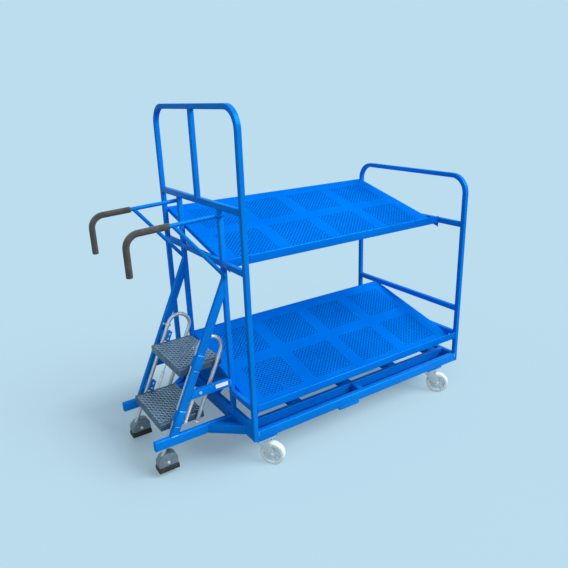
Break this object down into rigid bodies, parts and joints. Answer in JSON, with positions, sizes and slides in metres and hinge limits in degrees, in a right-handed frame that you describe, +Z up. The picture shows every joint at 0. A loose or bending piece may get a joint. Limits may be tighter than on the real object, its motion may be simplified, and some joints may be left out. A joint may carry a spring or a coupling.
{
  "type": "order picking trolley with steps",
  "caption": "Tube-framed order picking trolley with sloped pierced shelves between end hoops, a sprung step ladder with handles at one end, and swivel casters.",
  "frame": {"origin": "on the floor, under the middle of the overall length and width", "axes": "+X from the ladder end to the low end, -Y towards the low front edges of the shelves, +Z up"},
  "size_m": [1.918, 0.9918, 1.743],
  "materials": {
    "blue_paint": "glossy azure powder coat",
    "grip_foam": "dull dark grey foam",
    "zinc_plate": "pale zinc plating",
    "checker_plate": "blue-grey checker plate",
    "white_nylon": "white moulded nylon",
    "bright_steel": "bright plated steel",
    "black_steel": "blackened bolts",
    "black_rubber": "matt black rubber"
  },
  "bodies": {
    "frame": {"near_side_rail": "blue_paint", "far_side_rail": "blue_paint", "near_inner_rail": "blue_paint", "far_inner_rail": "blue_paint", "ladder_end_beam": "blue_paint", "low_end_beam": "blue_paint", "base_cross_members": "blue_paint", "mid_brackets": "blue_paint", "caster_pads": "blue_paint", "near_outrigger": "blue_paint", "far_outrigger": "blue_paint", "outrigger_end_caps": "blue_paint", "splay_braces": "blue_paint", "tall_hoop": "blue_paint", "tall_hoop_centre_bar": "blue_paint", "tall_hoop_crossbar": "blue_paint", "tall_hoop_shelf_bar": "blue_paint", "tall_hoop_side_bars": "blue_paint", "low_hoop": "blue_paint", "low_hoop_shelf_bar": "blue_paint", "low_hoop_rear_bar": "blue_paint", "low_hoop_front_bar": "blue_paint", "upper_shelf": "blue_paint", "lower_shelf": "blue_paint", "lower_shelf_cheek": "blue_paint", "near_ladder_post": "blue_paint", "far_ladder_post": "blue_paint", "near_stringer": "blue_paint", "far_stringer": "blue_paint", "stringer_braces": "blue_paint", "slide_guides": "blue_paint", "guide_plates": "blue_paint", "near_handle_bar": "blue_paint", "far_handle_bar": "blue_paint", "handle_braces": "blue_paint", "handle_grips": "grip_foam", "strut_rods": "zinc_plate", "caster_plates": "zinc_plate", "frame_bolts": "bright_steel", "caster_bolts": "black_steel"},
    "step_unit": {"near_step_loop": "zinc_plate", "far_step_loop": "zinc_plate", "upper_tread": "checker_plate", "lower_tread": "checker_plate", "strut_cylinders": "zinc_plate", "stop_collars": "zinc_plate", "limb_caps": "white_nylon", "foot_housings": "zinc_plate", "near_foot_pad": "black_rubber", "far_foot_pad": "black_rubber", "step_bolts": "bright_steel"},
    "near_ladder_fork": {"near_ladder_caster_fork": "zinc_plate"},
    "near_ladder_wheel": {"near_ladder_caster_wheel": "white_nylon"},
    "far_ladder_fork": {"far_ladder_caster_fork": "zinc_plate"},
    "far_ladder_wheel": {"far_ladder_caster_wheel": "white_nylon"},
    "near_low_fork": {"near_low_caster_fork": "zinc_plate"},
    "near_low_wheel": {"near_low_caster_wheel": "white_nylon"},
    "far_low_fork": {"far_low_caster_fork": "zinc_plate"},
    "far_low_wheel": {"far_low_caster_wheel": "white_nylon"}
  },
  "joints": [
    {"name": "step_slide", "type": "slide", "parent": "frame", "child": "step_unit", "axis": [-0.4226, 0, -0.9063], "range_m": [0, 0.028], "stiffness_N_per_m": 5000, "springref_m": -0.045},
    {"name": "near_ladder_swivel", "type": "hinge", "parent": "frame", "child": "near_ladder_fork", "pos_m": [-0.421, -0.402, 0.138], "axis": [0, 0, 1], "continuous": true},
    {"name": "near_ladder_spin", "type": "hinge", "parent": "near_ladder_fork", "child": "near_ladder_wheel", "pos_m": [-0.39208, -0.43647, 0.0625], "axis": [0.766, 0.6428, 0], "continuous": true},
    {"name": "far_ladder_swivel", "type": "hinge", "parent": "frame", "child": "far_ladder_fork", "pos_m": [-0.421, 0.402, 0.138], "axis": [0, 0, 1], "continuous": true},
    {"name": "far_ladder_spin", "type": "hinge", "parent": "far_ladder_fork", "child": "far_ladder_wheel", "pos_m": [-0.39208, 0.43647, 0.0625], "axis": [-0.766, 0.6428, 0], "continuous": true},
    {"name": "near_low_swivel", "type": "hinge", "parent": "frame", "child": "near_low_fork", "pos_m": [0.776, -0.402, 0.138], "axis": [0, 0, 1], "continuous": true},
    {"name": "near_low_spin", "type": "hinge", "parent": "near_low_fork", "child": "near_low_wheel", "pos_m": [0.80493, -0.43647, 0.0625], "axis": [0.766, 0.6428, 0], "continuous": true},
    {"name": "far_low_swivel", "type": "hinge", "parent": "frame", "child": "far_low_fork", "pos_m": [0.776, 0.402, 0.138], "axis": [0, 0, 1], "continuous": true},
    {"name": "far_low_spin", "type": "hinge", "parent": "far_low_fork", "child": "far_low_wheel", "pos_m": [0.80493, 0.43647, 0.0625], "axis": [-0.766, 0.6428, 0], "continuous": true}
  ]
}
